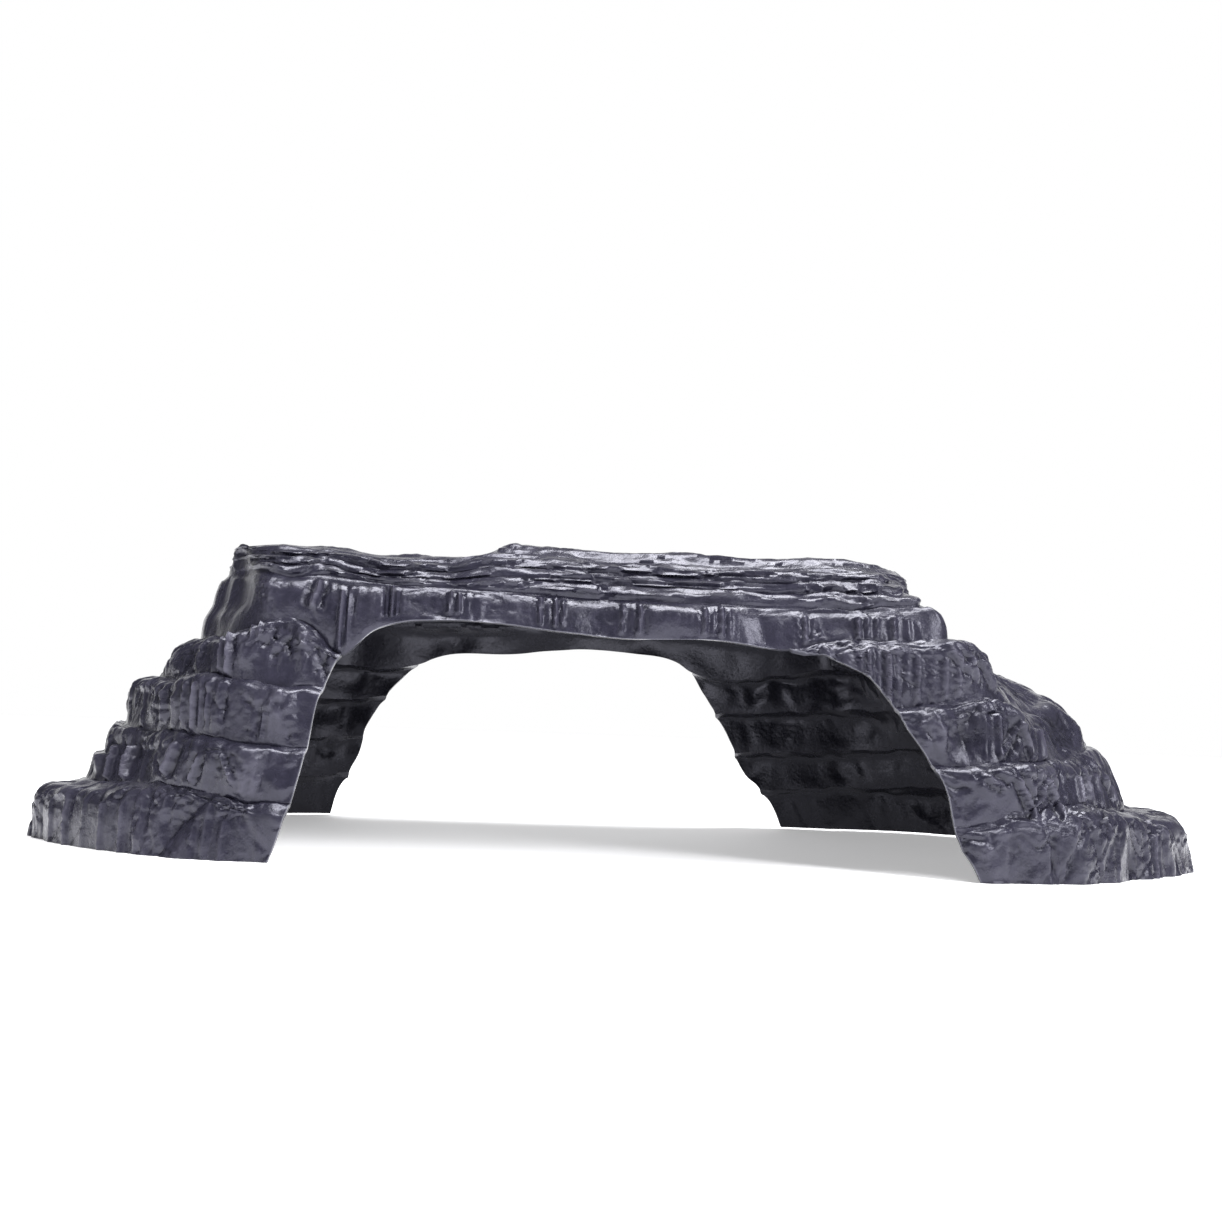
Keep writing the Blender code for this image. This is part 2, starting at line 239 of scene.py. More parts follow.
def noise(x, y, z=0.0):
    """Smooth gradient noise with a wave of about 1, mostly between -1 and 1."""
    x, y, z = np.broadcast_arrays(x, y, z)
    cell = [np.floor(axis).astype(np.int64) for axis in (x, y, z)]
    part = [axis - whole for axis, whole in zip((x, y, z), cell)]
    fade = [f * f * f * (f * (6 * f - 15) + 10) for f in part]
    total = np.zeros(x.shape)
    for dx in (0, 1):
        for dy in (0, 1):
            for dz in (0, 1):
                g = GRADIENTS[corner(cell[0] + dx, cell[1] + dy, cell[2] + dz)]
                dot = g[..., 0] * (part[0] - dx) + g[..., 1] * (part[1] - dy)
                dot = dot + g[..., 2] * (part[2] - dz)
                weight = np.ones(x.shape)
                for f, d in zip(fade, (dx, dy, dz)):
                    weight = weight * (f if d else 1 - f)
                total += dot * weight
    return total * NOISE_GAIN


def cells(x, y, seed):
    """Cellular noise: how far the nearest border is, and the cell's own random numbers."""
    ix, iy = np.floor(x).astype(np.int64), np.floor(y).astype(np.int64)
    first = np.full(x.shape, 9.0)
    second = np.full(x.shape, 9.0)
    chance = np.zeros(x.shape + (4,))
    for dx in (-1, 0, 1):
        for dy in (-1, 0, 1):
            c = CHANCE[corner(ix + dx, iy + dy, np.full_like(ix, seed))]
            off_x = x - (ix + dx + 0.5 + CELL_SCATTER * (c[..., 0] - 0.5))
            off_y = y - (iy + dy + 0.5 + CELL_SCATTER * (c[..., 1] - 0.5))
            far = np.hypot(off_x, off_y)
            nearer = far < first
            second = np.where(nearer, first, np.minimum(second, far))
            first = np.where(nearer, far, first)
            chance[nearer] = c[nearer]
    return second - first, chance


def facets(x, y, seed):
    """Flat triangles that meet in sharp folds, from -1 to 1: heights on a slanted lattice."""
    slant = 0.5 * y
    ix, iy = np.floor(x + slant).astype(np.int64), np.floor(y).astype(np.int64)
    fx, fy = x + slant - ix, y - iy

    def height(dx, dy):
        return 2 * CHANCE[corner(ix + dx, iy + dy, np.full_like(ix, seed))][..., 1] - 1

    near, far = height(0, 0), height(1, 1)
    lower = near + (height(1, 0) - near) * fx + (far - height(1, 0)) * fy
    upper = near + (height(0, 1) - near) * fy + (far - height(0, 1)) * fx
    return np.where(fx > fy, lower, upper)


def eased(value):
    """0 below 0, 1 above 1, and a smooth rise between them."""
    value = np.clip(value, 0.0, 1.0)
    return value * value * (3.0 - 2.0 * value)


def window(value, low, high, soft):
    """1 between low and high, with soft shoulders outside."""
    return eased((value - low) / soft + 1) * eased((high - value) / soft + 1)


# ---------------------------------------------------------------- the form of the shell


def through(points, at):
    """A smooth curve through (position, value) points, read at the positions given."""
    x, y = np.array(points, float).T
    slope = np.gradient(y, x)
    at = np.clip(at, x[0], x[-1])
    i = np.clip(np.searchsorted(x, at, side="right") - 1, 0, len(x) - 2)
    span = x[i + 1] - x[i]
    f = (at - x[i]) / span
    return (
        y[i] * (1 + 2 * f) * (1 - f) ** 2
        + y[i + 1] * (3 - 2 * f) * f * f
        + span * (slope[i] * f * (1 - f) ** 2 - slope[i + 1] * (1 - f) * f * f)
    )


def whole_loop(quarter):
    """An outline anticlockwise from the middle of the front and back to it, as fractions."""
    quarter = np.array(quarter)
    front_right = quarter[::-1] * (1, -1)
    back_left = quarter[::-1] * (-1, 1)
    front_left = quarter[1:] * (-1, -1)
    middle = [(0.0, -1.0)]
    return np.vstack([middle, front_right[:-1], quarter, back_left, front_left, middle])


def run_along(loop):
    """How far along a loop each of its points is."""
    return np.append(0, np.cumsum(np.linalg.norm(np.diff(loop, axis=0), axis=1)))


def evenly(loop, run):
    """Points of an outline at stations that are evenly spaced along the floor outline."""
    even = np.linspace(0, run[-1], OUTLINE_SAMPLES)
    return np.column_stack([through(list(zip(run, loop[:, axis])), even) for axis in (0, 1)])


STATIONS = np.linspace(0, 1, OUTLINE_SAMPLES)
FLOOR_LOOP = whole_loop(FLOOR_CORNER) * (LENGTH / 2, DEPTH / 2)
PLATEAU_LOOP = whole_loop(PLATEAU_CORNER) * (PLATEAU_LENGTH / 2, PLATEAU_DEPTH / 2)
PLATEAU_LOOP += (PLATEAU_CENTRE_X, 0)
FLOOR = evenly(FLOOR_LOOP, run_along(FLOOR_LOOP))
PLATEAU = evenly(PLATEAU_LOOP, run_along(FLOOR_LOOP))
FLOOR_RUN = run_along(FLOOR)
PLATEAU_RUN = run_along(PLATEAU)


def read_outline(outline, s):
    """Points of an outline at stations s."""
    s = np.mod(s, 1.0)
    return np.interp(s, STATIONS, outline[:, 0]), np.interp(s, STATIONS, outline[:, 1])


def towards_end(k, along_wall, left_end, right_end, x):
    """A value for ledge k that holds along the walls and eases to another one at each end."""
    end = eased((np.abs(x) * 2 / LENGTH - END_STARTS) / (END_FULL[k] - END_STARTS))
    return along_wall + (np.where(x < 0, left_end, right_end) - along_wall) * end


def ledge(k, s):
    """Ledge line k at stations s: its place between the outlines, and its height."""
    fx, fy = read_outline(FLOOR, s)
    px, _ = read_outline(PLATEAU, s)
    t = towards_end(k, WALL_LEDGES[k], LEFT_LEDGES[k], RIGHT_LEDGES[k], fx)
    x = fx + (px - fx) * t
    rear = eased(0.5 + fy / REAR_BLEND)
    z = through(FRONT_HEIGHTS[k], x) * (1 - rear) + through(REAR_HEIGHTS[k], x) * rear
    return t, z


def read_form(form, f):
    """Depth and height fractions of a tier's form, at fractions f of its rows."""
    depth, height = np.array(form, float).T
    rows = np.linspace(0, 1, len(form))
    return through(list(zip(rows, depth)), f), through(list(zip(rows, height)), f)


def deck_height(x, y, edge_z, inset):
    """The deck's height: low on the left, high on the right, and a little lower at its far ends."""
    wander = 4.0 * noise(x / 30, y / 13, 0.5) + 1.5 * noise(x / 9, y / 5, 8.5)
    high = eased((x + wander - DECK_STEP_X) / DECK_STEP_WIDTH)
    level = DECK_LOW_Z + (DECK_HIGH_Z - DECK_LOW_Z) * high
    level = level - 1.3 * eased((x - 42) / 26) - 0.5 * eased((-x - 80) / 20)
    return edge_z + (level - edge_z) * eased(inset / DECK_RIM)


def surface(s, v):
    """Points of the outer surface, at stations s and at v counted in ledges."""
    s, v = np.broadcast_arrays(np.asarray(s, float), np.asarray(v, float))
    points = np.zeros(s.shape + (3,))
    for k in range(MIDDLE):
        here = (v >= k) & ((v < k + 1) | (k == PLATEAU_EDGE))
        if not here.any():
            continue
        at, f = s[here], v[here] - k
        fx, fy = read_outline(FLOOR, at)
        px, py = read_outline(PLATEAU, at)
        a, b = read_form(FORMS[k], f)
        t0, z0 = ledge(k, at)
        if k == PLATEAU_EDGE:
            dx, dy = np.clip(px, *DECK_SPINE) - px, -py
            x, y = px + dx * a, py + dy * a
            z = deck_height(x, y, z0, np.hypot(dx, dy) * a)
        else:
            t1, z1 = ledge(k + 1, at)
            leaning = read_form(LEANING_FORM, f)
            lean = towards_end(k, 0.0, LEFT_LEAN[k], RIGHT_LEAN[k], fx)
            a, b = a + (leaning[0] - a) * lean, b + (leaning[1] - b) * lean
            t = t0 + (t1 - t0) * a
            x, y = fx + (px - fx) * t, fy + (py - fy) * t
            z = z0 + (z1 - z0) * b
            swell = np.sin(np.pi * f) * (z1 > z0)
            bulge = sum(
                h * np.sin(2 * np.pi * waves * at + k * shift) for h, waves, shift in BULGES
            )
            length = np.hypot(px - fx, py - fy)
            x = x - (px - fx) / length * bulge * swell
            y = y - (py - fy) / length * bulge * swell
        points[here] = np.column_stack([x, y, z])
    return points


def unit(vectors):
    """The same directions with a length of 1."""
    return vectors / np.maximum(np.linalg.norm(vectors, axis=-1, keepdims=True), 1e-9)


def crown_share(points):
    """1 along the crown of each tunnel mouth, where the sheet is trimmed, and 0 beside it."""
    x, y = points[:, 0], points[:, 1]
    left = np.where(y < 0, FRONT_LEFT_EDGE[-1][0], REAR_LEFT_EDGE[-1][0])
    right = np.where(y < 0, FRONT_RIGHT_EDGE[-1][0], REAR_RIGHT_EDGE[-1][0])
    return eased((x - left) / CROWN_FADE) * eased((right - x) / CROWN_FADE)


def point_and_normal(s, v):
    """Points of the outer surface and their outward normals.

    A ledge's normal is halfway between its two sides, except at the crown of the tunnel, where the
    sheet ends.
    """
    here = surface(s, v)
    one_sided = crown_share(here) if v == CROWN else np.zeros(len(s))
    along = unit(surface(s + STATION_NUDGE, v) - surface(s - STATION_NUDGE, v))
    below = unit(here - surface(s, max(v - LEDGE_NUDGE, 0))) if v > 0 else None
    above = unit(surface(s, v + LEDGE_NUDGE) - here) if v < MIDDLE else below
    below = above if below is None else below
    slope = unit(above + below * (1 - one_sided)[:, None])
    normal = unit(np.cross(along, slope))
    if v == 0:
        normal = unit(normal * (1, 1, 0))
    return here, normal


def edge_station(v, edge, towards_tip, towards_middle):
    """The station where the row at v meets a trimmed edge of the tunnel."""
    s = np.linspace(towards_tip, towards_middle, EDGE_SAMPLES)
    points = surface(s, v)
    x_edge = through([(z, x) for x, z in edge], points[:, 2])
    past = points[:, 0] - x_edge
    i = np.nonzero(past[:-1] * past[1:] <= 0)[0][0]
    return s[i] + (s[i + 1] - s[i]) * past[i] / (past[i] - past[i + 1])


# ---------------------------------------------------------------- the relief of the rock


def on_front(points):
    """1 on the front half, and 0 on the rear one."""
    return eased(-points[..., 1] / 12)


# Groups of upright flutes on the front: tier, x from and to, how many, the share of the tier's rise
# that they start and end at, and depth
FLUTES = (
    (0, -140, -112, 5, -0.20, 0.42, 0.45),
    (0, 126, 131, 2, -0.20, 0.40, 0.45),
    (0, -96, -84, 3, -0.20, 0.35, 0.25),
    (1, -127, -110, 3, 0.03, 0.44, 0.90),
    (1, 98, 118, 4, 0.03, 0.42, 0.60),
    (2, -123, -112, 1, 0.02, 0.46, 0.80),
    (2, -101, -96, 3, 0.08, 0.46, 0.55),
    (2, -110, -104, 1, 0.04, 0.40, 0.55),
    (2, 78, 85, 2, 0.04, 0.42, 0.55),
    (2, 92, 98, 2, 0.04, 0.40, 0.40),
    (3, -98, -92, 3, 0.02, 0.60, 0.80),
    (3, -89, -84, 3, 0.42, 0.80, 0.45),
    (3, 52, 61, 4, 0.02, 0.50, 0.70),
    (3, 63, 76, 4, 0.02, 0.45, 0.40),
    (4, -69.5, -66, 2, 0.02, 0.62, 0.60),
    (4, -59, -55.5, 3, 0.15, 0.80, 0.60),
    (4, -45, -39, 3, 0.15, 0.75, 0.45),
    (4, -24, -17, 4, 0.10, 0.75, 0.50),
    (4, -5, 1, 3, 0.10, 0.70, 0.45),
    (4, 14, 22, 4, 0.10, 0.72, 0.50),
    (4, 38, 42, 2, 0.10, 0.60, 0.40),
    (4, 50, 57, 3, 0.02, 0.50, 0.55),
    (4, 58, 65, 2, 0.02, 0.50, 0.55),
)

# Slanted folds on the front: x and z at each end, half width, and height
CREASES = (
    (-103.6, 24.2, -105.6, 17.5, 0.7, 0.75),
    (-97.0, 22.2, -98.6, 16.4, 0.5, 0.60),
    (-92.0, 23.0, -88.6, 17.2, 0.5, 0.40),
    (-74.2, 62.2, -75.2, 57.0, 0.8, 0.70),
    (-110.5, 38.5, -110.0, 29.5, 0.8, 0.60),
    (-103.6, 39.0, -103.2, 29.0, 0.6, 0.45),
    (78.4, 23.2, 82.4, 20.2, 0.5, 0.55),
    (85.6, 22.6, 90.0, 15.6, 0.6, 0.70),
    (94.0, 22.4, 97.6, 15.8, 0.6, 0.70),
    (93.6, 22.4, 90.6, 16.0, 0.5, 0.50),
    (88.6, 35.4, 84.2, 28.6, 0.5, 0.45),
    (88.8, 35.4, 91.4, 28.4, 0.5, 0.55),
    (77.0, 50.8, 80.0, 45.2, 0.9, 0.40),
    (81.0, 49.6, 86.6, 41.2, 0.8, 0.30),
    (72.5, 52.0, 76.8, 47.2, 0.6, 0.45),
    (120.4, 24.0, 123.2, 17.0, 0.7, 0.50),
    (110.0, 25.4, 111.8, 17.4, 0.7, 0.45),
)

# Places on the front where the sheet is pitted or crinkled: x, z, radius, depth
CRINKLES = (
    (-103.0, 13.4, 6.0, 0.55),
    (-105.0, 2.0, 5.0, 0.45),
    (-88.0, 12.2, 5.0, 0.35),
    (-88.5, 19.5, 6.0, 0.35),
    (-76.5, 48.0, 6.5, 0.50),
    (-84.0, 47.0, 6.5, 0.60),
    (-86.0, 60.5, 3.5, 0.50),
    (-94.0, 31.5, 4.0, 0.30),
    (40.0, 53.0, 4.5, 0.40),
    (72.0, 47.0, 8.0, 0.32),
    (82.0, 51.0, 6.0, 0.28),
    (106.0, 14.2, 9.0, 0.45),
    (112.0, 24.6, 5.0, 0.40),
    (104.0, 3.0, 5.0, 0.35),
    (66.0, 34.0, 6.0, 0.30),
    (128.0, 13.0, 7.0, 0.35),
    (50.0, 64.5, 6.0, 0.30),
)

# The most that a rib is wide on each side, how far ribs and folds stand out, and how deep the
# valleys between ribs are
WIDEST_RIB = 0.62
RIB_GAIN = 2.3
VALLEY = 0.35
CREASE_GAIN = 1.9


def small_shelves(points):
    """Two low shelves in the leaning end of the second step on the left."""
    x, z = points[..., 0], points[..., 2]
    share = (z - SHELF_FOOT_Z) / SHELF_HEIGHT
    share = share - np.floor(share)
    out = share * (1 - eased((share - 0.84) / 0.16))
    return SHELF_DEPTH * (out - 0.55) * eased((-108 - x) / 10)


def flutes_on_front(k, points, f):
    """Groups of narrow upright ribs on tier k, and how fully each point belongs to one."""
    x = points[..., 0] + 0.25 * noise(points[..., 2] / 5, points[..., 0] / 9)
    total, share = np.zeros(x.shape), np.zeros(x.shape)
    for tier, x0, x1, count, f0, f1, depth in FLUTES:
        if tier != k:
            continue
        pitch = (x1 - x0) / count
        number = np.floor((x - x0) / pitch)
        off = x - x0 - (number + 0.5) * pitch
        half = min(WIDEST_RIB, 0.3 * pitch)
        rib = np.exp(-((off / half) ** 2)) * (0.75 + 0.4 * np.cos(2.3 * number + x0))
        reach = window(x, x0, x1, 0.8) * window(f, f0, f1, 0.05)
        total += (RIB_GAIN * rib - VALLEY) * depth * reach
        share = np.maximum(share, reach)
    return total * on_front(points), share * on_front(points)


def creases_on_front(points):
    """Sharp slanted folds with a groove on each side."""
    x, z = points[..., 0], points[..., 2]
    total = np.zeros(x.shape)
    for x0, z0, x1, z1, half, depth in CREASES:
        along = np.hypot(x1 - x0, z1 - z0)
        ux, uz = (x1 - x0) / along, (z1 - z0) / along
        t = (x - x0) * ux + (z - z0) * uz
        wander = 0.5 * noise(t / 2.4, x0)
        d = np.abs((x - x0) * uz - (z - z0) * ux + wander)
        groove = 0.6 * np.exp(-(((d - 2.2 * half) / half) ** 2))
        fold = np.exp(-((d / half) ** 2))
        total += CREASE_GAIN * depth * (fold - groove) * window(t, 0.5, along - 0.5, 1.5)
    return total * on_front(points)


def crinkles_on_front(points):
    """Patches of small pits and wrinkles."""
    x, y, z = (points[..., axis] for axis in range(3))
    reach = np.zeros(x.shape)
    for x0, z0, radius, depth in CRINKLES:
        reach += depth * eased(1.5 - np.hypot(x - x0, (z - z0) * 1.5) / radius)
    pits = noise(x / 1.5, z / 1.1, y / 2.5)
    return (1 - 2.2 * np.abs(pits)) * reach * on_front(points)


# How strongly each step is chipped into small facets, and how strongly it is ribbed
CHIPS = (0.65, 0.95, 0.55, 0.35)
COLUMNS = (0.50, 0.45, 0.75, 0.90)


def steps_relief(k, u, w, f):
    """Faceted pillars, chips and flutes of one step, in run u and rise w: its form and detail."""
    u1 = u + 2.5 * noise(u / 14, w / 16, k + 0.5)
    w1 = w + 1.8 * noise(u / 7, w / 9, k + 4.5)
    upright = 1 - 0.6 * eased((f - 0.5) / 0.3)
    pillars = 1.15 * facets(u1 / 7.2 + 3.7 * k, w1 / 26 + 5.3 * k, 3 + k)
    columns = COLUMNS[k] * facets(u1 / 3.6 + 1.9 * k, w1 / 15 + 2.1 * k, 13 + k)
    chips = CHIPS[k] * facets(u1 / 4.8, w1 / 4.4 + 9.1 * k, 23 + k)
    patches = eased(0.5 + 1.8 * noise(u / 15, w / 14, 2.0 + k))
    form = (pillars + columns * (1 - patches)) * upright + chips * (0.25 + 0.75 * patches)
    gap, chance = cells(u1 / 9.5 + 3.7 * k, w / 34 + 5.3 * k, 33 + k)
    form += (0.9 * (chance[..., 2] - 0.5) - 0.45 * np.exp(-((gap / 0.09) ** 2))) * upright
    mask = eased(2.0 * noise(u / 10, w / 30, 7.0 + k) + 0.1)
    detail = (0.5 - np.abs(noise(u / 1.9, w / 30, 9.0 + k))) * mask * 0.95 * upright
    for across, up, seed in ((0.55, 8.5, 13.0), (-0.7, 11.0, 31.0)):
        line = noise((u + across * w) / 6.0, w / up, seed + k)
        broken = eased(0.3 + 2 * noise(u / 15, w / 17, seed + 9))
        detail -= 0.55 * np.exp(-((line / 0.05) ** 2)) * broken
    return form, detail


def fascia_relief(u, w, f):
    """The face over the tunnel: broad upright panels and clusters of thin upright flutes."""
    u1 = u + 2.0 * noise(u / 12, w / 12, 40.5)
    form = 0.55 * facets(u1 / 8.5, w / 30 + 0.4, 41) + 0.30 * facets(u1 / 4.2, w / 24, 42)
    form *= window(f, 0.08, 0.80, 0.12)
    mask = eased(2.6 * noise(u / 7.5, w / 30, 43.0) + 0.1)
    ribs = (0.40 - np.abs(noise(u / 2.3, w / 60, 45.0))) * mask * 0.75
    seam = np.exp(-((noise(u / 16, w / 5.0, 47.0) / 0.05) ** 2))
    seams = -0.15 * seam * eased(2 * noise(u / 11, 49.5))
    return form, ribs * window(f, 0.0, 0.72, 0.15) + seams


def strata_relief(u, w, points):
    """Thin wavy layers under the plateau, broken into streaks. They are fainter at both ends."""
    x, z = points[..., 0], points[..., 2]
    end = eased((np.abs(x - PLATEAU_CENTRE_X) - STRATA_HALF) / 14)
    drift = 1.2 * noise(u / 26, 3.1) + 0.35 * noise(u / 7.5, 5.7)
    layer = (z + drift) / 1.25 + 0.40 * noise(u / 21, w / 6, 51.0)
    saw = layer - np.floor(layer)
    shelf = (eased(saw / 0.25) - saw) * 1.05 * (0.70 + 0.6 * noise(u / 14, np.floor(layer) * 3.7))
    chips = 0.42 * facets(u / 13, w / 2.2, 59) + 0.20 * facets(u / 5, w / 1.4, 60)
    thin = 0.30 * noise(u / 15, (z + drift) / 0.62, 53.0)
    broken = 0.18 * noise(u / 3.2, w / 1.2, 57.0)
    return (shelf + chips) * (1 - 0.6 * end), (thin + broken) * (1 - 0.4 * end)


def deck_relief(u, w, points, rise):
    """A low weathered surface with shallow plates and cracks, and layers along its rim."""
    x, y = points[..., 0], points[..., 1]
    warp = 2.0 * noise(x / 14, y / 14, 71.0)
    gap, chance = cells((x + warp) / 16, (y - warp) / 10, 73)
    form = 0.5 * facets((x + warp) / 14, (y - warp) / 10, 75) + 0.35 * (chance[..., 2] - 0.5)
    form += 0.45 * noise(x / 19, y / 6.5, 85.0)
    near = 1 - 0.85 * eased((rise - 8) / 8)
    cracks = eased(0.3 + 1.6 * noise(x / 26, y / 20, 87.0))
    detail = -0.32 * np.exp(-((gap / 0.08) ** 2)) * cracks + 0.20 * noise(x / 12, y / 4.2, 83.0)
    detail += (0.16 * noise(x / 3.6, y / 3.0, 77.0) + 0.10 * noise(x / 1.5, y / 1.3, 79.0)) * near
    rim = 1 - eased((rise - 2.5) / 2.5)
    layers, streaks = strata_relief(u, w, points)
    return form + (layers - form) * rim, detail + (streaks - detail) * rim


def chart(s, k, rise):
    """Run along the outline at tier k, and rise up the slope, both in millimetres."""
    s = np.mod(s, 1.0)
    share = WALL_LEDGES[k]
    on_floor = np.interp(s, STATIONS, FLOOR_RUN)
    on_plateau = np.interp(s, STATIONS, PLATEAU_RUN)
    run = on_floor * (1 - share) + on_plateau * share
    return run, np.full_like(run, rise)


def broad_relief(points):
    """Slow swells that run through every section alike, and the left end of the top set back."""
    x, y, z = (points[..., axis] for axis in range(3))
    swell = 0.75 * noise(x / 23, y / 23, z / 20) + 0.35 * noise(x / 8.5, y / 8.5, z / 9)
    left_end = eased((PLATEAU_CENTRE_X - STRATA_HALF - x) / 14) * eased((z - 54) / 5)
    return swell - LEFT_END_INSET * left_end


def sway(points):
    """How far each point is moved up or down.

    The ledges wander, the one below the left shoulder is lower at its end, and the top dips
    beside its step and rises at its left end. The crown of the tunnel stays still.
    """
    x, y, z = (points[..., axis] for axis in range(3))
    up = 0.90 * noise(x / 11, y / 11, z / 30 + 0.7) + 0.55 * noise(x / 4.2, y / 4.2, z / 12 + 3.3)
    crown = window(x, -64, 31, 8) * eased((z - 42) / 4)
    up = up * eased(z / 7) * (1 - crown) * eased((70 - z) / 4)
    up = up - 2.0 * window(x, -140, -108, 8) * window(z, 37, 50, 8)
    left_end, dip = eased((-84 - x) / 14), window(x, -60, -46, 14)
    return up + eased((z - 62) / 6) * (0.8 * left_end - 1.8 * dip)


def relief(k, points, s, f, rise):
    """The form and the detail of one row of tier k, both in millimetres out from the surface."""
    u, w = chart(s, k, rise)
    if k < CROWN:
        form, detail = steps_relief(k, u, w, f)
    elif k == CROWN:
        form, detail = fascia_relief(u, w, f)
    elif k == PLATEAU_EDGE:
        form, detail = deck_relief(u, w, points, rise)
    else:
        form, detail = strata_relief(u, w, points)
    x, y, z = (points[:, axis] for axis in range(3))
    lip = window(f, 0.30, 0.52, 0.12) if k < CROWN else 0.1
    crinkle = noise(x / 1.6, y / 1.6, z / 1.3) * eased(0.35 + 1.7 * noise(x / 8, y / 8, z / 6))
    detail = detail + crinkle * (0.10 + 0.35 * lip)
    if k == SECOND_STEP:
        form = form + small_shelves(points)
    if k < PLATEAU_EDGE:
        flutes, share = flutes_on_front(k, points, f)
        form, detail = form * (1 - 0.75 * share), detail * (1 - 0.6 * share) + flutes
        detail = detail + creases_on_front(points) + crinkles_on_front(points)
    return form, detail


# ---------------------------------------------------------------- building the skins


def row_values(k, s_span, spacing):
    """Rows of tier k, evenly spaced up its slope, with the rise of each."""
    f = np.linspace(0, 1, SLOPE_SAMPLES)
    stations = np.linspace(*s_span, SLOPE_STATIONS)
    just_below = k + 1 - 1e-6
    path = np.array([surface(stations, min(k + at, just_below)) for at in f])
    steps = np.linalg.norm(np.diff(path, axis=0), axis=2).mean(axis=1)
    rise = np.append(0, np.cumsum(steps))
    count = int(round(rise[-1] / spacing / 2)) * 2 + 1
    even = np.linspace(0, rise[-1], count)
    return np.interp(even, rise, f), even


def deck_rows():
    """Rows of the deck: close together near its rim, and wider inside. Their rise is the inset."""
    half = PLATEAU_DEPTH / 2
    close = np.arange(0, DECK_BAND, GRID)
    wide = np.linspace(DECK_BAND, half * DECK_END, int(half / DECK_GRID / 2) * 2)
    inset = np.append(close, wide)
    inset = inset if len(inset) % 2 else np.delete(inset, 1)
    return inset / half, inset


def grid_of(k, fractions, rises, stations_at):
    """Outer and inner points of tier k, with the fine relief of each outer point.

    The detail fades, and the form settles, towards the ledges that a tier shares with its
    neighbours, but not towards the trimmed crown of the tunnel.
    """
    outer, inner, heights = [], [], []
    for f, rise in zip(fractions, rises):
        v = min(k + f, MIDDLE)
        s = stations_at(v)
        point, normal = point_and_normal(s, v)
        broad = broad_relief(point)
        up = sway(point)
        length = rises[-1]
        fade = eased(rise / DETAIL_ABOVE) if k > 0 else 1.0
        settle = eased(rise / FORM_ABOVE) if 0 < k <= CROWN else fade
        if k < PLATEAU_EDGE:
            fade = fade * eased((length - rise) / DETAIL_BELOW)
            settle = settle * eased((length - rise) / FORM_BELOW)
        else:
            middle = eased((length - rise) / DECK_FORM_FADE)
            fade = fade * eased((length - rise) / DECK_DETAIL_FADE)
            settle = settle * (DECK_FORM_LEAST + (1 - DECK_FORM_LEAST) * middle)
        crowned = crown_share(point) * (rise < length / 2) if k == CROWN else np.zeros(len(s))
        fade = fade + (1 - fade) * crowned
        settle = settle + (1 - settle) * crowned
        form, detail = relief(k, point, s, f, rise)
        form, detail = form * settle, detail * fade
        detail = np.maximum(detail, DEEPEST_CUT - (1 - FOLLOW) * form)
        if k == 0:
            broad = broad - BASE_INSET * eased((length - rise) / 5)
        skin = point + normal * (broad + form + detail)[:, None]
        if k == 0:
            lift = REAR_LIFT * eased((point[:, 1] - 20) / 20) * (1 - eased(rise / 6))
            skin[:, 2] = np.maximum(skin[:, 2], 0) + lift
        back = point + normal * (broad + FOLLOW * form - SHEET)[:, None]
        skin[:, 2] += up
        back[:, 2] += up
        if k == 0:
            back[:, 2] = np.maximum(back[:, 2], 0) + lift
        outer.append(skin)
        inner.append(back)
        heights.append(detail + 0.4 * form)
    return np.array(outer), np.array(inner), np.array(heights)


def skin_mesh(outer, inner, closed, capped):
    """Points and faces of a closed skin. The inner grid has every second point of the outer one.

    A closed grid joins up all the way round, and a capped one has one face across its last row.
    """
    rows, columns = outer.shape[:2]
    inner = inner[::2, ::2]
    in_rows, in_columns = inner.shape[:2]
    base = rows * columns
    faces = []

    def out(r, c):
        return r * columns + c % columns

    def inn(r, c):
        return base + r * in_columns + c % in_columns

    for r in range(rows - 1):
        for c in range(columns if closed else columns - 1):
            faces.append((out(r, c), out(r, c + 1), out(r + 1, c + 1), out(r + 1, c)))
    for r in range(in_rows - 1):
        for c in range(in_columns if closed else in_columns - 1):
            faces.append((inn(r, c), inn(r + 1, c), inn(r + 1, c + 1), inn(r, c + 1)))
    top, in_top = rows - 1, in_rows - 1
    for c in range(in_columns if closed else in_columns - 1):
        o = 2 * c
        faces.append((inn(0, c), inn(0, c + 1), out(0, o + 2), out(0, o + 1), out(0, o)))
        if not capped:
            rim = (out(top, o), out(top, o + 1), out(top, o + 2))
            faces.append((*rim, inn(in_top, c + 1), inn(in_top, c)))
    if not closed:
        end, in_end = columns - 1, in_columns - 1
        for r in range(in_rows - 1):
            o = 2 * r
            faces.append((out(o, 0), out(o + 1, 0), out(o + 2, 0), inn(r + 1, 0), inn(r, 0)))
            rim = (out(o + 2, end), out(o + 1, end), out(o, end))
            faces.append((inn(r, in_end), inn(r + 1, in_end), *rim))
    if capped:
        faces.append([out(top, c) for c in range(columns)])
        faces.append([inn(in_top, c) for c in reversed(range(in_columns))])
    return np.vstack([outer.reshape(-1, 3), inner.reshape(-1, 3)]), faces


def add_object(name, data):
    """A new object in the scene."""
    added = bpy.data.objects.new(name, data)
    bpy.context.scene.collection.objects.link(added)
    return added


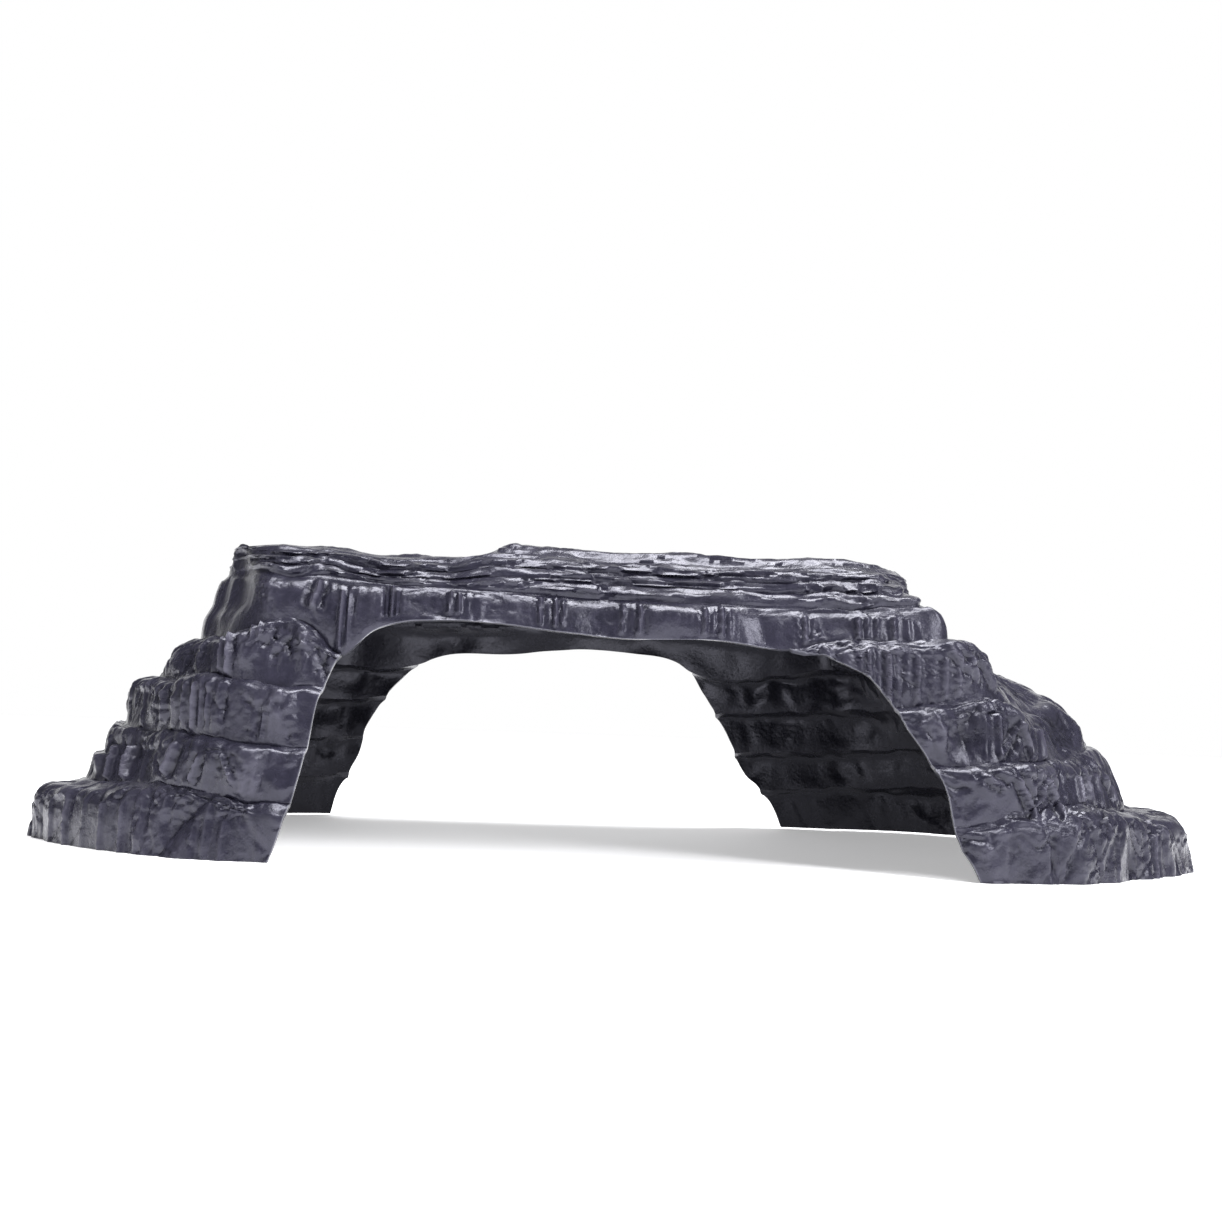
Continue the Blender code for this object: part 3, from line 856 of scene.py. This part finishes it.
def build_piece(name, node, outer, inner, heights, closed, rims, capped=False):
    """A skin as an object that stands for a CAD node.

    rims says which points lie on a trimmed edge.
    """
    points, faces = skin_mesh(outer, inner, closed, capped)
    mesh = bpy.data.meshes.new(name)
    mesh.from_pydata((points * MM + (0, 0, FLOOR_Z)).tolist(), [], faces)
    mesh.validate()
    inside = len(points) - heights.size
    carved = np.append(heights, np.zeros(inside))
    rim = np.append(rims, np.zeros(inside))
    lining = np.append(np.zeros(heights.size), np.ones(inside))
    for label, values in (("relief", carved), ("rim", rim), ("lining", lining)):
        attribute = mesh.attributes.new(label, "FLOAT", "POINT")
        attribute.data.foreach_set("value", values.astype(np.float32))
    mesh.shade_smooth()
    mesh.set_sharp_from_angle(angle=math.radians(SHARP_FOLD))
    mesh.materials.append(ROCK)
    piece = add_object(name, mesh)
    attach(piece, "root")
    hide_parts(node)


# ---------------------------------------------------------------- material


RANGE_SOCKETS = ("From Min", "From Max", "To Min", "To Max")


def rock_material():
    """Satin slate plastic: uneven colour, fine grain, painted shade in hollows and on the inner
    faces, painted highlights on ridges, and paler trimmed edges with a painted highlight.
    """
    made = bpy.data.materials.new("moulded_slate")
    made.use_nodes = True
    tree = made.node_tree
    shader = tree.nodes["Principled BSDF"]
    place = tree.nodes.new("ShaderNodeTexCoord")

    def texture(scale, detail, rough=0.55):
        node = tree.nodes.new("ShaderNodeTexNoise")
        node.inputs["Scale"].default_value = scale
        node.inputs["Detail"].default_value = detail
        node.inputs["Roughness"].default_value = rough
        tree.links.new(place.outputs["Object"], node.inputs["Vector"])
        return node.outputs["Fac"]

    def remap(value, *numbers):
        node = tree.nodes.new("ShaderNodeMapRange")
        for socket, number in zip(RANGE_SOCKETS, numbers):
            node.inputs[socket].default_value = number
        tree.links.new(value, node.inputs["Value"])
        return node.outputs["Result"]

    def attribute(label):
        node = tree.nodes.new("ShaderNodeAttribute")
        node.attribute_name = label
        return node.outputs["Fac"]

    def mixed(share, first, second):
        node = tree.nodes.new("ShaderNodeMix")
        node.data_type = "RGBA"
        for socket, value in (("A", first), ("B", second)):
            target = [i for i in node.inputs if i.name == socket and i.type == "RGBA"][0]
            if isinstance(value, tuple):
                target.default_value = (*value, 1)
            else:
                tree.links.new(value, target)
        tree.links.new(share, node.inputs["Factor"])
        return [o for o in node.outputs if o.type == "RGBA"][0]

    broad = remap(texture(38, 3), 0.35, 0.65, 0, 1)
    slate = mixed(broad, (0.0110, 0.0106, 0.0185), (0.0205, 0.0196, 0.0315))
    grain = remap(texture(520, 4), 0.42, 0.72, 0, 0.5)
    grained = mixed(grain, slate, (0.034, 0.032, 0.050))
    # Painted shade: hollows in the relief are darkened towards near-black, standing in for the shade
    # that falls in them.
    hollows = remap(attribute("relief"), -0.15, -0.8, 0, 0.8)
    with_painted_hollow_shade = mixed(hollows, grained, (0.005, 0.005, 0.008))
    # Painted highlight: raised ridges and lips are made paler, standing in for the bright glints
    # along them.
    ridges = remap(attribute("relief"), 0.25, 1.1, 0, 0.6)
    with_painted_ridge_highlight = mixed(ridges, with_painted_hollow_shade, (0.075, 0.072, 0.098))
    # The trimmed edges are paler in themselves, as cut plastic is, and also carry a painted
    # highlight where the edge catches the light.
    edges = remap(attribute("rim"), 0.5, 1.0, 0, 0.7)
    trimmed = mixed(edges, with_painted_ridge_highlight, (0.16, 0.16, 0.19))
    # Painted shade: the inner faces of the sheet get a darker, even colour, standing in for the
    # shade inside the shell.
    with_painted_lining_shade = mixed(attribute("lining"), trimmed, (0.012, 0.012, 0.017))
    tree.links.new(with_painted_lining_shade, shader.inputs["Base Color"])
    gloss = remap(texture(160, 4), 0.3, 0.7, 0.19, 0.34)
    tree.links.new(gloss, shader.inputs["Roughness"])
    shader.inputs["IOR"].default_value = 1.50
    shader.inputs["Specular Tint"].default_value = (0.86, 0.86, 1.0, 1)
    bump = tree.nodes.new("ShaderNodeBump")
    bump.inputs["Strength"].default_value = 0.35
    bump.inputs["Distance"].default_value = 0.0004
    tree.links.new(texture(900, 5, 0.6), bump.inputs["Height"])
    tree.links.new(bump.outputs["Normal"], shader.inputs["Normal"])
    return made


ROCK = rock_material()


# ---------------------------------------------------------------- the pieces


def leg_edges(side):
    """The station at the tip of a leg, and the trimmed edges that it runs between."""
    if side == "right":
        return RIGHT_TIP, FRONT_RIGHT_EDGE, REAR_RIGHT_EDGE
    return LEFT_TIP, REAR_LEFT_EDGE, FRONT_LEFT_EDGE


def leg_ends(side, v):
    """The stations where the row at v starts and ends, on the trimmed edges of the tunnel."""
    tip, first_edge, last_edge = leg_edges(side)
    first = edge_station(v, first_edge, tip, tip - QUARTER)
    last = edge_station(v, last_edge, tip, tip + QUARTER)
    return first, last


def make_leg(side):
    """Four steps of one leg, each running round the end of the bridge."""
    for k, step in enumerate(("base_step", "second_step", "third_step", "shoulder_step")):
        span = leg_ends(side, k + 0.5)
        first = surface(np.linspace(*span, EDGE_SAMPLES), k + 0.3)
        length = np.linalg.norm(np.diff(first, axis=0), axis=1).sum()
        columns = int(length / GRID / 2) * 2 + 1
        fractions, rises = row_values(k, span, GRID)
        outer, inner, heights = grid_of(
            k, fractions, rises, lambda v: np.linspace(*leg_ends(side, v), columns)
        )
        rims = np.zeros(heights.shape)
        rims[:, 0] = rims[:, -1] = 1
        build_piece(f"rock_{side}_{step}", f"{side}_{step}", outer, inner, heights, False, rims)


def ring_stations(columns):
    """Stations all the way round, for a closed grid."""
    return np.arange(columns) / columns


def crown_piece_grids():
    """The fascia over the tunnel and the strata above it, as one grid."""
    columns = int(PLATEAU_RUN[-1] * RING_DENSITY / GRID / 2) * 2
    grids = []
    for k, spacing in ((CROWN, GRID), (CROWN + 1, GRID * STRATA_GRID)):
        fractions, rises = row_values(k, (0, 1), spacing)
        keep = slice(None) if k == CROWN else slice(1, None)
        outer, inner, heights = grid_of(k, fractions, rises, lambda v: ring_stations(columns))
        grids.append([part[keep] for part in (outer, inner, heights)])
    outer, inner, heights = (np.concatenate(parts) for parts in zip(*grids))
    return columns, outer, inner, heights


def make_bridge():
    """The ring of rock over the tunnel and round the top, and the deck inside it."""
    columns, outer, inner, heights = crown_piece_grids()
    rims = np.zeros(heights.shape)
    rims[0] = crown_share(surface(ring_stations(columns), CROWN))
    build_piece("rock_bridge_ring", "bridge_ring", outer, inner, heights, True, rims)
    fractions, rises = deck_rows()
    outer, inner, heights = grid_of(
        PLATEAU_EDGE, fractions, rises, lambda v: ring_stations(columns)
    )
    rims = np.zeros(heights.shape)
    build_piece("rock_bridge_deck", "bridge_deck", outer, inner, heights, True, rims, capped=True)


make_leg("left")
make_leg("right")
make_bridge()


# ---------------------------------------------------------------- the studio


# Everything in the studio is in metres, apart from the camera's place
FLOOR_HALF = 6.0
FLOOR_GAP = 0.0001
WALL_RADIUS = 5.9
WALL_HEIGHT = 8.0
WALL_SIDES = 64
CENTRE = (0, 0, 0.03)


def glowing_paint(name, colour, roughness, specular, glow):
    """A matt paint that also gives off some white light of its own."""
    paint = bpy.data.materials.new(name)
    paint.use_nodes = True
    shader = paint.node_tree.nodes["Principled BSDF"]
    shader.inputs["Base Color"].default_value = (*colour, 1)
    shader.inputs["Roughness"].default_value = roughness
    shader.inputs["Specular IOR Level"].default_value = specular
    shader.inputs["Emission Color"].default_value = (1, 1, 1, 1)
    shader.inputs["Emission Strength"].default_value = glow
    return paint


def make_floor():
    """A plain pale floor, just under the object."""
    mesh = bpy.data.meshes.new("floor")
    low, high = -FLOOR_HALF, FLOOR_HALF
    corners = [(low, low), (high, low), (high, high), (low, high)]
    mesh.from_pydata([(x, y, FLOOR_Z - FLOOR_GAP) for x, y in corners], [], [(0, 1, 2, 3)])
    mesh.materials.append(glowing_paint("pale_floor", (0.92, 0.92, 0.94), 0.7, 0.2, 0.38))
    add_object("floor", mesh)


def make_backdrop():
    """A round white wall. Only the camera sees it: it lights nothing and shows in no reflection."""
    turns = [2 * math.pi * i / WALL_SIDES for i in range(WALL_SIDES)]
    ring = [(WALL_RADIUS * math.cos(turn), WALL_RADIUS * math.sin(turn)) for turn in turns]
    points = [(x, y, FLOOR_Z + z) for z in (0, WALL_HEIGHT) for x, y in ring]
    following = [(i, (i + 1) % WALL_SIDES) for i in range(WALL_SIDES)]
    faces = [(i, j, WALL_SIDES + j, WALL_SIDES + i) for i, j in following]
    mesh = bpy.data.meshes.new("backdrop")
    mesh.from_pydata(points, [], faces)
    mesh.materials.append(glowing_paint("white_wall", (0, 0, 0), 0.5, 0, 1.0))
    wall = add_object("backdrop", mesh)
    wall.visible_diffuse = False
    wall.visible_glossy = False
    wall.visible_transmission = False
    wall.visible_volume_scatter = False
    wall.visible_shadow = False


def make_lamp(name, place, target, width, height, radiance):
    """An oblong softbox that faces the target. Its radiance sets how bright its reflection is."""
    lamp = bpy.data.lights.new(name, "AREA")
    lamp.shape = "RECTANGLE"
    lamp.size = width
    lamp.size_y = height
    lamp.energy = radiance * math.pi * width * height
    holder = add_object(name, lamp)
    holder.location = place
    aim = Vector(target) - Vector(place)
    holder.rotation_euler = aim.to_track_quat("-Z", "Y").to_euler()


def make_world():
    """A white studio: bright behind the object, and dim on every other side."""
    world = bpy.data.worlds.new("studio")
    bpy.context.scene.world = world
    world.use_nodes = True
    tree = world.node_tree
    place = tree.nodes.new("ShaderNodeTexCoord")
    parts = tree.nodes.new("ShaderNodeSeparateXYZ")
    tree.links.new(place.outputs["Generated"], parts.inputs[0])
    ramp = tree.nodes.new("ShaderNodeMapRange")
    ramp.interpolation_type = "SMOOTHSTEP"
    for socket, number in zip(RANGE_SOCKETS, (0.55, 0.85, 0.14, 1.35)):
        ramp.inputs[socket].default_value = number
    tree.links.new(parts.outputs["Y"], ramp.inputs["Value"])
    tree.nodes["Background"].inputs["Color"].default_value = (1, 1, 1, 1)
    tree.links.new(ramp.outputs["Result"], tree.nodes["Background"].inputs["Strength"])


def make_sun(name, azimuth, elevation, spread, strength):
    """A broad even light from far away, so many degrees right of the front and above the floor.

    It doesn't show in reflections.
    """
    lamp = bpy.data.lights.new(name, "SUN")
    lamp.angle = math.radians(spread)
    lamp.energy = strength
    holder = add_object(name, lamp)
    holder.rotation_euler = (math.radians(90 - elevation), 0, math.radians(azimuth))
    holder.visible_glossy = False


def make_camera():
    """In front of the bridge and near the floor, turned slightly right and up, and tilted a little.

    The place is in millimetres and the angles are in radians.
    """
    yaw, pitch, roll = 0.0517303, 0.0911470, 0.0346671
    place = Vector((-22.347, -360.761, 30.882)) * MM
    flat = math.cos(pitch)
    forward = Vector((math.sin(yaw) * flat, math.cos(yaw) * flat, math.sin(pitch)))
    right = Vector((math.cos(yaw), -math.sin(yaw), 0))
    up = right.cross(forward)
    level = Matrix((right, up, -forward)).transposed().to_4x4()
    lens = bpy.data.cameras.new("camera")
    lens.sensor_width = 36.0
    lens.lens = 38.3
    lens.clip_start = 0.01
    lens.clip_end = 50.0
    camera = add_object("camera", lens)
    stand = Matrix.Translation(place + Vector((0, 0, FLOOR_Z)))
    camera.matrix_world = stand @ level @ Matrix.Rotation(roll, 4, "Z")
    bpy.context.scene.camera = camera


make_floor()
make_backdrop()
make_world()
make_sun("floor_light", 58, 34, 38, 3.0)
make_lamp("right_box", (0.70, -0.78, 0.70), CENTRE, 0.20, 0.60, 20.0)
make_lamp("left_box", (-0.80, -0.70, 0.40), CENTRE, 0.07, 0.70, 6.0)
make_lamp("top_box", (0.08, -0.10, 1.05), CENTRE, 0.90, 0.34, 19.0)
make_camera()
bpy.context.scene.view_settings.view_transform = "Standard"
